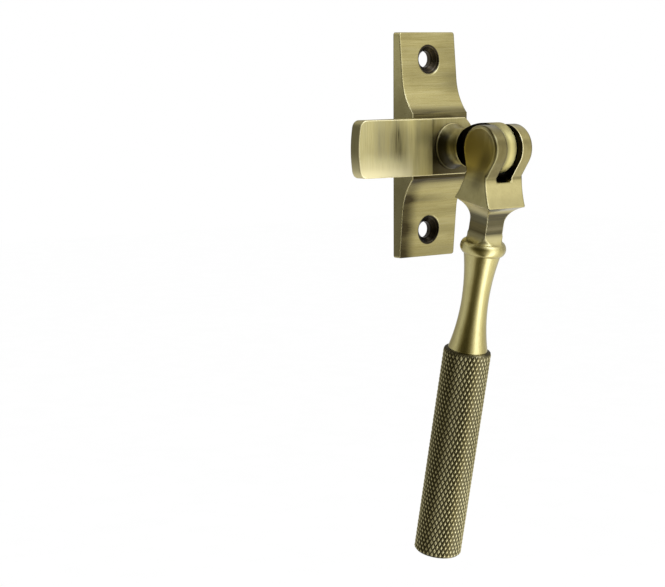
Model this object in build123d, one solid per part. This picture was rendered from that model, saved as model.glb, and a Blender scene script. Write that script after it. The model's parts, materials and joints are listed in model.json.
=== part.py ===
from build123d import *
import os
from math import acos, asin, atan2, cos, degrees, hypot, radians, sin, sqrt, tan

# Reversible casement fastener, in millimetres.
# Origin: centre of the backplate's back face. X to the right, Y into the window, Z up the plate.
# "Out" is the distance from the window, along -Y. "Down" is measured along the handle from its hinge.

# Backplate
PLATE_HEIGHT = 60.0
PLATE_WIDTH = 20.0
PLATE_END_THICKNESS = 2.35
PLATE_TAPER_ANGLE = 5.2
BOSS_OUT = 7.5
BOSS_LENGTH = 17.2
COVE_LENGTH = 8.9
SCREW_SPACING = 45.7
SCREW_HOLE_DIAMETER = 4.4
COUNTERSINK_DIAMETER = 7.6
PLATE_CORNER_RADIUS = 0.7
EDGE_SOFTENING = 0.3

# Spindle and the washers that hold it, in the recess behind the boss
SPINDLE_DIAMETER = 8.0
TAIL_DIAMETER = 6.0
TAIL_HEAD_DIAMETER = 8.6
TAIL_HEAD_HEIGHT = 1.1
RETAINING_WASHER_THICKNESS = 1.2
SPRING_WASHER_THICKNESS = 0.5
SPRING_WASHER_HEIGHT = 1.1
RECESS_DIAMETER = 14.0
BACK_CLEARANCE = 0.3
RIM_CLEARANCE = 0.4
RUNNING_CLEARANCE = 0.05

# Latch nose
NOSE_REACH = 31.7
NOSE_HEIGHT = 15.0
NOSE_TIP_THICKNESS = 3.1
NOSE_ROOT_THICKNESS = 4.8
NOSE_CROWN = 0.3
NOSE_CORNER_RADIUS = 2.2
NOSE_FACE_START = 7.25
HUB_RADIUS = 9.0
HUB_THICKNESS = 4.4

# Turned neck and hinge tongue
NECK_LENGTH = 7.35
NECK_BASE_DIAMETER = 12.2
NECK_WAIST_DIAMETER = 9.6
NECK_BEAD_RADIUS = 0.3
NECK_RING_DIAMETER = 10.8
NECK_RIM = 0.5
TONGUE_THICKNESS = 5.2
TONGUE_ROOT_HEIGHT = 9.4
TONGUE_END_RADIUS = 6.6
TONGUE_ROOT_FILLET = 0.8
PIVOT_FROM_NECK = 9.95
PIVOT_TO_TONGUE_END = 4.3
PIN_DIAMETER = 4.0

# Fork and square block of the handle
CHEEK_THICKNESS = 4.0
CHEEK_RADIUS = 6.2
CHEEK_EDGE_RADIUS = 0.8
CHEEK_GAP = 0.15
CREASE_DOWN = 7.1
CREASE_DEPTH = 7.4
BLOCK_DOWN = 14.4
BLOCK_DEPTH = 13.0
BLOCK_HOLLOW = 0.33
BLOCK_EDGE_RADIUS = 0.25
SLOT_FLOOR_CLEARANCE = 0.7
SLOT_FLOOR_RADIUS = 0.8
PIN_BLIND_DEPTH = 1.9

# Square neck, collar, waist and grip of the handle, from the block downwards
COVE_DROP = 5.2
SQUARE_NECK_WIDTH = 6.3
SQUARE_NECK_LENGTH = 2.5
SQUARE_FLARE_LENGTH = 3.0
SQUARE_FLARE_WIDTH = 10.4
TURNED_NECK_DIAMETER = 9.3
TURNED_FLARE_LENGTH = 1.1
TURNED_FLARE_DIAMETER = 10.7
COLLAR_HEIGHT = 3.1
COLLAR_DIAMETER = 12.2
COLLAR_RIM_DIAMETER = 10.9
WAIST_TOP_DIAMETER = 9.9
WAIST_DIAMETER = 7.2
WAIST_UPPER_LENGTH = 12.8
WAIST_LOWER_LENGTH = 13.8
FLARE_DIAMETER = 10.7
SPIGOT_DIAMETER = 7.0
SPIGOT_LENGTH = 20.0
SPIGOT_END_CLEARANCE = 0.5
GRIP_DIAMETER = 12.8
GRIP_LENGTH = 57.8
GRIP_TOP_RADIUS = 0.8
GRIP_END_CHAMFER = 0.6
GRIP_REST_GAP = 0.3

# How far a cutting shape runs past the metal that it cuts
OVERRUN = 2.0

# Places out from the window, worked out from the sizes above
washer_back = BACK_CLEARANCE + TAIL_HEAD_HEIGHT
washer_front = washer_back + RETAINING_WASHER_THICKNESS
recess_floor = washer_front + SPRING_WASHER_HEIGHT + RUNNING_CLEARANCE
nose_back = BOSS_OUT + RUNNING_CLEARANCE
hub_face = nose_back + HUB_THICKNESS
neck_front = hub_face + NECK_LENGTH
pivot_out = neck_front + PIVOT_FROM_NECK

# Places down the handle, from the hinge
neck_down = BLOCK_DOWN + COVE_DROP
flare_down = neck_down + SQUARE_NECK_LENGTH
collar_down = flare_down + SQUARE_FLARE_LENGTH
waist_top_down = collar_down + COLLAR_HEIGHT
waist_down = waist_top_down + WAIST_UPPER_LENGTH
grip_down = waist_down + WAIST_LOWER_LENGTH
grip_end_down = grip_down + GRIP_LENGTH

# The handle hangs folded against the window, so its lean follows from where the grip's end rests
rest_reach = pivot_out - GRIP_REST_GAP
grip_radius = GRIP_DIAMETER / 2
lean = asin(rest_reach / hypot(grip_end_down, grip_radius)) - atan2(grip_radius, grip_end_down)

slot_half = TONGUE_THICKNESS / 2 + CHEEK_GAP
fork_half = slot_half + CHEEK_THICKNESS
tongue_sweep = (TONGUE_END_RADIUS + CREASE_DEPTH / 2 * sin(lean)) / cos(lean)
slot_floor_down = tongue_sweep + SLOT_FLOOR_CLEARANCE

# Drawing planes: side (out, up), front (right, up) and plan (right, out)
SIDE = Plane((0, 0, 0), x_dir=(0, -1, 0), z_dir=(-1, 0, 0))
FRONT = Plane((0, 0, 0), x_dir=(1, 0, 0), z_dir=(0, -1, 0))
PLAN = Plane((0, 0, 0), x_dir=(1, 0, 0), z_dir=(0, 0, -1))


def turned(edges, axis):
    """Solid of revolution of a closed half profile drawn in the side plane."""
    return revolve(SIDE * make_face(edges), axis)


def spindle_ring(inner_radius, outer_radius, back, front):
    """Flat ring about the spindle's axis."""
    ring = Circle(outer_radius) - Circle(inner_radius)
    return extrude(FRONT.offset(back) * ring, front - back)


def backplate():
    end_up = PLATE_HEIGHT / 2
    boss_up = BOSS_LENGTH / 2
    cove_up = boss_up + COVE_LENGTH
    taper = tan(radians(PLATE_TAPER_ANGLE))
    cove_out = PLATE_END_THICKNESS + (end_up - cove_up) * taper
    upper_half = make_face([
        Line((0, 0), (0, end_up)),
        Line((0, end_up), (PLATE_END_THICKNESS, end_up)),
        Line((PLATE_END_THICKNESS, end_up), (cove_out, cove_up)),
        TangentArc((cove_out, cove_up), (BOSS_OUT, boss_up), tangent=(taper, -1)),
        Line((BOSS_OUT, boss_up), (BOSS_OUT, 0)),
        Line((BOSS_OUT, 0), (0, 0)),
    ])
    profile = upper_half + mirror(upper_half, about=Plane.XZ)
    plate = extrude(SIDE * profile, PLATE_WIDTH / 2, both=True)
    end_edges = plate.edges().filter_by(Axis.Y)
    plate = fillet(end_edges, PLATE_CORNER_RADIUS)
    front_edges = [edge for edge in plate.edges() if edge.bounding_box().max.Y < -PLATE_END_THICKNESS / 2]
    rim_x = PLATE_WIDTH / 2 - PLATE_CORNER_RADIUS
    rim_up = end_up - PLATE_CORNER_RADIUS
    rim = [edge for edge in front_edges if abs(edge.center().X) > rim_x or abs(edge.center().Z) > rim_up]
    plate = fillet(rim, EDGE_SOFTENING)

    hole_radius = SCREW_HOLE_DIAMETER / 2
    sink_radius = COUNTERSINK_DIAMETER / 2
    hole_up = SCREW_SPACING / 2
    sink_out = PLATE_END_THICKNESS + (end_up - hole_up) * taper
    cone_foot = sink_out - (sink_radius - hole_radius)
    screw_hole = turned([
        Line((-OVERRUN, 0), (-OVERRUN, hole_radius)),
        Line((-OVERRUN, hole_radius), (cone_foot, hole_radius)),
        Line((cone_foot, hole_radius), (sink_out + OVERRUN, sink_radius + OVERRUN)),
        Line((sink_out + OVERRUN, sink_radius + OVERRUN), (sink_out + OVERRUN, 0)),
        Line((sink_out + OVERRUN, 0), (-OVERRUN, 0)),
    ], Axis.Y)
    plate -= Pos(0, 0, hole_up) * screw_hole
    plate -= Pos(0, 0, -hole_up) * screw_hole

    bore_radius = SPINDLE_DIAMETER / 2 + RUNNING_CLEARANCE
    plate -= extrude(FRONT * Circle(bore_radius), BOSS_OUT + OVERRUN)
    plate -= extrude(FRONT.offset(-OVERRUN) * Circle(RECESS_DIAMETER / 2), recess_floor + OVERRUN)
    return plate


def nose_bar():
    side_up = NOSE_HEIGHT / 2
    tip_x = -sqrt(NOSE_REACH ** 2 - side_up ** 2)
    hub_x = sqrt(HUB_RADIUS ** 2 - side_up ** 2)
    outline = make_face([
        Line((tip_x, side_up), (hub_x, side_up)),
        ThreePointArc((hub_x, side_up), (HUB_RADIUS, 0), (hub_x, -side_up)),
        Line((hub_x, -side_up), (tip_x, -side_up)),
        ThreePointArc((tip_x, -side_up), (-NOSE_REACH, 0), (tip_x, side_up)),
    ])
    outline = fillet(outline.vertices().sort_by(Axis.X)[:2], NOSE_CORNER_RADIUS)
    blank = extrude(FRONT.offset(nose_back) * outline, NOSE_ROOT_THICKNESS + OVERRUN)

    tip_out = nose_back + NOSE_TIP_THICKNESS
    root_out = nose_back + NOSE_ROOT_THICKNESS
    left = -NOSE_REACH - OVERRUN
    right = HUB_RADIUS + OVERRUN
    plan = make_face([
        Line((left, nose_back), (left, tip_out)),
        Line((left, tip_out), (-NOSE_REACH, tip_out)),
        SagittaArc((-NOSE_REACH, tip_out), (-NOSE_FACE_START, root_out), NOSE_CROWN),
        Line((-NOSE_FACE_START, root_out), (-NOSE_FACE_START, hub_face)),
        Line((-NOSE_FACE_START, hub_face), (right, hub_face)),
        Line((right, hub_face), (right, nose_back)),
        Line((right, nose_back), (left, nose_back)),
    ])
    bar = blank & extrude(PLAN * plan, NOSE_HEIGHT, both=True)
    middle_out = nose_back + NOSE_TIP_THICKNESS / 2
    front_edges = [edge for edge in bar.edges() if edge.bounding_box().max.Y < -middle_out]
    soft_edges = [edge for edge in front_edges if abs(edge.center().X + NOSE_FACE_START) > EDGE_SOFTENING]
    return fillet(soft_edges, EDGE_SOFTENING)


def neck():
    base_radius = NECK_BASE_DIAMETER / 2
    ring_radius = NECK_RING_DIAMETER / 2
    base_rim = hub_face + NECK_RIM
    ring_rim = neck_front - NECK_RIM
    waist = ((base_rim + ring_rim) / 2, NECK_WAIST_DIAMETER / 2)
    shape = turned([
        Line((nose_back, 0), (nose_back, base_radius)),
        Line((nose_back, base_radius), (base_rim, base_radius)),
        ThreePointArc((base_rim, base_radius), waist, (ring_rim, ring_radius)),
        Line((ring_rim, ring_radius), (neck_front, ring_radius)),
        Line((neck_front, ring_radius), (neck_front, 0)),
        Line((neck_front, 0), (nose_back, 0)),
    ], Axis.Y)
    rims = shape.edges().filter_by(GeomType.CIRCLE).sort_by(Axis.Y)
    return fillet([rim for rim in rims if -neck_front < rim.center().Y < -hub_face], NECK_BEAD_RADIUS)


def tongue():
    root_up = TONGUE_ROOT_HEIGHT / 2
    root_out = neck_front - NECK_RIM
    end_out = pivot_out + PIVOT_TO_TONGUE_END
    round_out = end_out - TONGUE_END_RADIUS
    upper_half = make_face([
        Line((root_out, 0), (root_out, root_up)),
        Line((root_out, root_up), (neck_front, root_up)),
        TangentArc((round_out, TONGUE_END_RADIUS), (neck_front, root_up), tangent=(-1, 0)),
        RadiusArc((round_out, TONGUE_END_RADIUS), (end_out, 0), TONGUE_END_RADIUS),
        Line((end_out, 0), (root_out, 0)),
    ])
    profile = upper_half + mirror(upper_half, about=Plane.XZ)
    return extrude(SIDE * profile, TONGUE_THICKNESS / 2, both=True)


def spindle():
    """Spindle with its shouldered tail and the peened head that traps the retaining washer."""
    spindle_radius = SPINDLE_DIAMETER / 2
    tail_radius = TAIL_DIAMETER / 2
    head_radius = TAIL_HEAD_DIAMETER / 2
    root_out = nose_back + HUB_THICKNESS / 2
    return turned([
        Line((root_out, 0), (root_out, spindle_radius)),
        Line((root_out, spindle_radius), (washer_front, spindle_radius)),
        Line((washer_front, spindle_radius), (washer_front, tail_radius)),
        Line((washer_front, tail_radius), (washer_back, tail_radius)),
        Line((washer_back, tail_radius), (washer_back, head_radius)),
        TangentArc((BACK_CLEARANCE, 0), (washer_back, head_radius), tangent=(0, 1)),
        Line((BACK_CLEARANCE, 0), (root_out, 0)),
    ], Axis.Y)


def tongue_root():
    """Coves that lead from the neck's front face into the tongue's sides, within the neck's ring."""
    side_x = TONGUE_THICKNESS / 2
    foot_x = side_x + TONGUE_ROOT_FILLET
    cove_out = neck_front + TONGUE_ROOT_FILLET
    plan = make_face([
        Line((-foot_x, neck_front), (foot_x, neck_front)),
        RadiusArc((foot_x, neck_front), (side_x, cove_out), TONGUE_ROOT_FILLET),
        Line((side_x, cove_out), (-side_x, cove_out)),
        RadiusArc((-side_x, cove_out), (-foot_x, neck_front), TONGUE_ROOT_FILLET),
    ])
    coves = extrude(PLAN * plan, TONGUE_ROOT_HEIGHT / 2, both=True)
    ring_envelope = extrude(FRONT.offset(neck_front) * Circle(NECK_RING_DIAMETER / 2), TONGUE_ROOT_FILLET)
    return coves & ring_envelope


def latch_nose():
    hinge_tongue = tongue_root() + tongue()
    nose = nose_bar() + neck() + spindle() + hinge_tongue
    pin_bore = Cylinder(PIN_DIAMETER / 2 + RUNNING_CLEARANCE, TONGUE_THICKNESS + OVERRUN, rotation=(0, 90, 0))
    return nose - Pos(0, -pivot_out, 0) * pin_bore


def spring_washer():
    inner = SPINDLE_DIAMETER / 2 + RIM_CLEARANCE
    outer = RECESS_DIAMETER / 2 - RIM_CLEARANCE
    rim_front = washer_front + SPRING_WASHER_HEIGHT
    corners = [
        (washer_front, inner),
        (washer_front + SPRING_WASHER_THICKNESS, inner),
        (rim_front, outer),
        (rim_front - SPRING_WASHER_THICKNESS, outer),
    ]
    return turned(Polyline(*corners, close=True).edges(), Axis.Y)


def retaining_washer():
    outer = RECESS_DIAMETER / 2 - RIM_CLEARANCE
    return spindle_ring(TAIL_DIAMETER / 2, outer, washer_back, washer_front)


def as_hung(shape):
    """Place a piece drawn with the hinge at the origin and the handle straight down."""
    return Pos(0, -pivot_out, 0) * Rot(degrees(lean), 0, 0) * shape


def neck_profile(block_half, start_edges, start):
    """Half outline of the fork, block and square neck, mirrored; start is where it meets the block."""
    neck_half = SQUARE_NECK_WIDTH / 2
    flare_half = SQUARE_FLARE_WIDTH / 2
    half = make_face(start_edges + [
        TangentArc((neck_half, -neck_down), (block_half, -BLOCK_DOWN), tangent=(0, 1)),
        Line((neck_half, -neck_down), (neck_half, -flare_down)),
        TangentArc((neck_half, -flare_down), (flare_half, -collar_down), tangent=(0, -1)),
        Line((flare_half, -collar_down), (0, -collar_down)),
        Line((0, -collar_down), start),
    ])
    return half + mirror(half, about=Plane.YZ)


def fork_side_outline():
    """Round cheek, its tangent down to the crease, and the flare to the block's lower edge."""
    crease_half = CREASE_DEPTH / 2
    block_half = BLOCK_DEPTH / 2
    crease_angle = atan2(CREASE_DOWN, crease_half)
    tangent_angle = crease_angle - acos(CHEEK_RADIUS / hypot(crease_half, CREASE_DOWN))
    tangent_point = (CHEEK_RADIUS * cos(tangent_angle), -CHEEK_RADIUS * sin(tangent_angle))
    crease = (crease_half, -CREASE_DOWN)
    start = (0, CHEEK_RADIUS)
    edges = [
        ThreePointArc(start, (CHEEK_RADIUS, 0), tangent_point),
        Line(tangent_point, crease),
        SagittaArc(crease, (block_half, -BLOCK_DOWN), -BLOCK_HOLLOW),
    ]
    return neck_profile(block_half, edges, start)


def fork_front_outline():
    """Straight sides down to the block's lower edge."""
    start = (0, CHEEK_RADIUS)
    edges = [
        Line(start, (fork_half, CHEEK_RADIUS)),
        Line((fork_half, CHEEK_RADIUS), (fork_half, -BLOCK_DOWN)),
    ]
    return neck_profile(fork_half, edges, start)


def fork_blank():
    side_solid = extrude(SIDE * fork_side_outline(), fork_half, both=True)
    front_solid = extrude(FRONT * fork_front_outline(), BLOCK_DEPTH, both=True)
    blank = side_solid & front_solid

    def side_edges(shape):
        faces = shape.faces().sort_by(Axis.X)
        return faces[0].edges() + faces[-1].edges()

    blank = fillet([edge for edge in side_edges(blank) if edge.center().Z > -CREASE_DOWN], CHEEK_EDGE_RADIUS)
    block = [edge for edge in side_edges(blank) if -BLOCK_DOWN < edge.center().Z < -CREASE_DOWN]
    return fillet(block, BLOCK_EDGE_RADIUS)


def turned_relief():
    """What the lathe takes off the square neck's corners as they flare towards the collar."""
    neck_radius = TURNED_NECK_DIAMETER / 2
    foot_radius = TURNED_FLARE_DIAMETER / 2
    foot_down = collar_down - TURNED_FLARE_LENGTH
    outer_radius = SQUARE_FLARE_WIDTH
    return turned([
        Line((neck_radius, -flare_down), (neck_radius, -foot_down)),
        TangentArc((neck_radius, -foot_down), (foot_radius, -collar_down), tangent=(0, -1)),
        Line((foot_radius, -collar_down), (outer_radius, -collar_down)),
        Line((outer_radius, -collar_down), (outer_radius, -flare_down)),
        Line((outer_radius, -flare_down), (neck_radius, -flare_down)),
    ], Axis.Z)


def turned_shank():
    """Collar, waist and the spigot that the grip sits on."""
    rim_radius = COLLAR_RIM_DIAMETER / 2
    top_radius = WAIST_TOP_DIAMETER / 2
    waist_radius = WAIST_DIAMETER / 2
    flare_radius = FLARE_DIAMETER / 2
    spigot_radius = SPIGOT_DIAMETER / 2
    spigot_down = grip_down + SPIGOT_LENGTH
    collar_middle = (COLLAR_DIAMETER / 2, -collar_down - COLLAR_HEIGHT / 2)
    return turned([
        Line((0, -collar_down), (rim_radius, -collar_down)),
        ThreePointArc((rim_radius, -collar_down), collar_middle, (rim_radius, -waist_top_down)),
        Line((rim_radius, -waist_top_down), (top_radius, -waist_top_down)),
        TangentArc((waist_radius, -waist_down), (top_radius, -waist_top_down), tangent=(0, 1)),
        TangentArc((waist_radius, -waist_down), (flare_radius, -grip_down), tangent=(0, -1)),
        Line((flare_radius, -grip_down), (spigot_radius, -grip_down)),
        Line((spigot_radius, -grip_down), (spigot_radius, -spigot_down)),
        Line((spigot_radius, -spigot_down), (0, -spigot_down)),
        Line((0, -spigot_down), (0, -collar_down)),
    ], Axis.Z)


def fork_slot():
    """Slot that the tongue turns in: open at the front, top and back, with a rounded floor."""
    height = CHEEK_RADIUS + OVERRUN + slot_floor_down
    section = Rectangle(2 * slot_half, height)
    section = fillet(section.vertices().sort_by(Axis.Y)[:2], SLOT_FLOOR_RADIUS)
    middle_up = (CHEEK_RADIUS + OVERRUN - slot_floor_down) / 2
    return extrude(FRONT * (Pos(0, middle_up) * section), BLOCK_DEPTH, both=True)


def pin_shape():
    """Round bar of the hinge pin, from its blind end in the left cheek to the right cheek's face."""
    blind_x = -slot_half - PIN_BLIND_DEPTH
    return extrude(Plane.YZ.offset(blind_x) * Circle(PIN_DIAMETER / 2), fork_half - blind_x)


def hinge_pin():
    return as_hung(pin_shape())


def handle_shank():
    shank = fork_blank() - turned_relief()
    shank += turned_shank()
    shank -= fork_slot()
    shank -= pin_shape()
    return as_hung(shank)


def grip():
    spigot_radius = SPIGOT_DIAMETER / 2
    bore_down = grip_down + SPIGOT_LENGTH + SPIGOT_END_CLEARANCE
    sleeve = turned([
        Line((spigot_radius, -grip_down), (grip_radius, -grip_down)),
        Line((grip_radius, -grip_down), (grip_radius, -grip_end_down)),
        Line((grip_radius, -grip_end_down), (0, -grip_end_down)),
        Line((0, -grip_end_down), (0, -bore_down)),
        Line((0, -bore_down), (spigot_radius, -bore_down)),
        Line((spigot_radius, -bore_down), (spigot_radius, -grip_down)),
    ], Axis.Z)
    rims = sleeve.edges().filter_by(GeomType.CIRCLE).filter_by(lambda edge: edge.radius > spigot_radius)
    top_rim = rims.sort_by(Axis.Z)[-1]
    sleeve = fillet(top_rim, GRIP_TOP_RADIUS)
    end_rim = sleeve.edges().filter_by(GeomType.CIRCLE).sort_by(Axis.Z)[0]
    sleeve = chamfer(end_rim, GRIP_END_CHAMFER)
    return as_hung(sleeve)


nodes = {
    "backplate": backplate(),
    "latch_nose": latch_nose(),
    "spring_washer": spring_washer(),
    "retaining_washer": retaining_washer(),
    "hinge_pin": hinge_pin(),
    "handle_shank": handle_shank(),
    "grip": grip(),
}
os.makedirs("parts", exist_ok=True)
for name, shape in nodes.items():
    export_step(shape, f"parts/{name}.step")
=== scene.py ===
import json
from math import cos, pi, radians, sin, sqrt

import bpy
from mathutils import Matrix, Vector


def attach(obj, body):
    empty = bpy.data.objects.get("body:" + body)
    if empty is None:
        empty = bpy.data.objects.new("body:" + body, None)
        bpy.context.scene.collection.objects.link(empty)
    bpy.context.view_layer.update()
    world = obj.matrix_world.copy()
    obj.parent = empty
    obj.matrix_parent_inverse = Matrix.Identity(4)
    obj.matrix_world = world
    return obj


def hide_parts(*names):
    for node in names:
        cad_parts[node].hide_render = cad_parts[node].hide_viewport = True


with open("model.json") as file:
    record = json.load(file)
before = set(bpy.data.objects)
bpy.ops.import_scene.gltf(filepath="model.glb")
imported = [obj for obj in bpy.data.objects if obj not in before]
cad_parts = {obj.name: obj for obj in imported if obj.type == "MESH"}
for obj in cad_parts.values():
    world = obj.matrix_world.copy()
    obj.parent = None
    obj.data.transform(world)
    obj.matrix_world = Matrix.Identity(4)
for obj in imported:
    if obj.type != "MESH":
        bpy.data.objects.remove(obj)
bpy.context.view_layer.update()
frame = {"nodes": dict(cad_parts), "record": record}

MM = 0.001

# Sizes shared with the solids, in millimetres, and the handle's lean in degrees
LEAN = 11.6207
SCREW_OFFSET = 22.85
BOSS_HALF = 8.6
NOSE_FACE_START = 7.25
COUNTERSINK_RADIUS = 3.8
HUB_FACE = 11.95
NECK_FRONT = 19.3
SLOT_HALF = 2.75
SLOT_FLOOR_DOWN = 8.2
TONGUE_HALF = 2.6
CREASE_DOWN = 7.1
BLOCK_DOWN = 14.4
NECK_DOWN = 19.6
FLARE_DOWN = 22.1
COLLAR_DOWN = 25.1
GRIP_DOWN = 54.8
GRIP_END_DOWN = 112.6
GRIP_RADIUS = 6.4
GRIP_TOP_RADIUS = 0.8
GRIP_END_CHAMFER = 0.6
SPIGOT_RADIUS = 3.5
SPIGOT_BORE_END = 75.3

# Knurl: starts each way round the grip, mesh columns and rows in one diamond, mesh rows along the grip,
# depth of a groove in millimetres, and the flat on either side of a tip as a share of a diamond
KNURL_STARTS = 34
KNURL_CELLS = 6
KNURL_ROWS = 149
KNURL_DEPTH = 0.30
KNURL_TIP = 0.10
# More mesh rows in the rounded top and the chamfered end, in millimetres from each
GRIP_TOP_ROWS = (0.1, 0.3)
GRIP_END_ROW = 0.3

# Camera: focal length and image in pixels, angles in degrees, distances in metres
IMAGE_WIDTH, IMAGE_HEIGHT = 665, 587
FOCAL_PX = 2157.6
CAMERA_AZIMUTH, CAMERA_ELEVATION, CAMERA_ROLL = -40.606, 6.662, -0.259
ORIGIN_PX = (420.977, 144.496)
CAMERA_DISTANCE = 0.5809
CAMERA_NEAR = 0.01
SENSOR_MM = 36.0

# Stage: lengths in metres, angles in degrees, the floor's grain per metre
CENTRE = Vector((0.0, -0.018, -0.035))
FLOOR_Z = -0.45
FLOOR_HALF = 4.0
FLOOR_GRAIN = 30.0
FLOOR_COLOURS = [(0.3, (0.99, 0.99, 0.99)), (0.7, (1.0, 1.0, 1.0))]
KEY_AZIMUTH, KEY_ELEVATION = 3, -2
KEY_DISTANCE = 0.8
KEY_SIZE = (0.64, 0.95)
KEY_WATTS = 2.3
KEY_COLOUR = (1.0, 0.98, 0.95)
DOME_RADIUS = 0.40
DOME_STEP = 4
# Tones of the dome by azimuth, up to its low elevation and from its high one, and gains by elevation:
# brightest in front, white walls to the right and left, dark round the camera
DOME_LOW, DOME_HIGH = -26, 6
DOME_LOW_TONES = [
    (0, 2.4), (18, 2.3), (30, 1.55), (42, 1.2), (60, 1.05), (100, 0.9), (140, 0.6), (200, 0.72),
    (228, 0.76), (256, 0.70), (266, 0.46), (278, 0.19), (296, 0.11), (312, 0.16), (326, 0.38),
    (336, 0.75), (346, 1.5), (360, 2.4)]
DOME_HIGH_TONES = [
    (0, 2.0), (20, 1.95), (30, 1.4), (40, 1.1), (52, 0.8), (70, 0.54), (100, 0.5), (140, 0.45),
    (180, 0.35), (208, 0.55), (230, 0.75), (242, 0.65), (253, 0.42), (263, 0.2), (273, 0.08),
    (290, 0.05), (314, 0.06), (328, 0.16), (342, 0.5), (354, 1.4), (360, 2.0)]
DOME_GAINS = [
    (-84, 0.8), (-60, 1.1), (-20, 1.0), (4, 1.0), (12, 1.0), (20, 0.85), (28, 1.0), (38, 1.65), (50, 1.9),
    (60, 1.5), (74, 1.2), (84, 0.8)]
# Tints of the dome: warm below one tone, cool above another and on the left wall. Green and blue each
# give what the warmth takes from them and what the cool and the wall add
DOME_WARM, DOME_COOL = 0.5, 1.2
LEFT_WALL = [(0, 0.0), (192, 0.0), (214, 1.0), (246, 1.0), (264, 0.0), (360, 0.0)]
GREEN_TINTS = (0.10, 0.07, 0.04)
BLUE_TINTS = (0.60, 0.36, 0.13)

# Colours, as linear shares of red, green and blue
# Pale brass of wear, also used for painted highlights
BRASS_WEAR_AND_SHEEN = (0.80, 0.70, 0.36)
BRASS_GOLD = (0.78, 0.67, 0.25)
BRASS_LIGHT = (0.66, 0.58, 0.275)
BRASS = (0.54, 0.465, 0.190)
BRASS_DEEP = (0.34, 0.275, 0.090)
PALE_GREY = (0.62, 0.60, 0.48)
# Gold and brown of the painted light and shade across the cheeks
CHEEK_LIT_GOLD = (0.86, 0.69, 0.205)
CHEEK_SHADE_BROWN = (0.46, 0.355, 0.078)
NECK_GREY = (0.165, 0.142, 0.080)
NECK_BROWN = (0.095, 0.072, 0.024)
# Dark olive of the painted shade in the square neck's bands
NECK_SHADE_OLIVE = (0.072, 0.062, 0.032)
# Dark brown of patina, also used for painted shade
PATINA_AND_SHADE = (0.045, 0.033, 0.009)
KNURL_FLANK = (0.15, 0.126, 0.055)
GROOVE = (0.060, 0.049, 0.019)
BORE_BROWN = (0.105, 0.080, 0.042)
# Near black of the painted shade in the neck's hollow and at the bead's foot
NECK_BLACK = (0.026, 0.020, 0.007)
# Black of the painted shadow in the fork's slot and on the tongue's flanks, also deep in the countersinks
DEEP_BLACK = (0.010, 0.008, 0.004)
STEEL_DARK = (0.36, 0.35, 0.33)
STEEL_LIGHT = (0.55, 0.54, 0.52)

# Brushed brass: scales of its noises per metre, across its streaks and along them
FINE_ACROSS, FINE_ALONG = 3400.0, 110.0
BROAD_ACROSS, BROAD_ALONG = 420.0, 45.0
BLOTCH_SCALE = 110.0
FINE_SHARE, BROAD_SHARE = 0.65, 0.35
# Height of the streaks in metres, and the lacquer over them
STREAK_HEIGHT = 0.00003
LACQUER = 0.12
LACQUER_ROUGHNESS = 0.12

# Sockets for colours on a mix node
MIX_FIRST, MIX_SECOND, MIX_RESULT = 6, 7, 2

joints = frame["record"]["behaviour"]["joints"]
pivot = next(joint["pos_m"] for joint in joints if joint["name"] == "handle_fold")

# A span says where a mask starts and ends, in millimetres or as a share of a normal, a noise or another
# mask, and then how strong the mask is there, if that isn't 0 and 1
BLOTCH_STAIN = (0.45, 0.75, 0.0, 0.30)
CREVICE = (0.78, 0.40)
EDGE = (0.15, 0.40)


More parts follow.
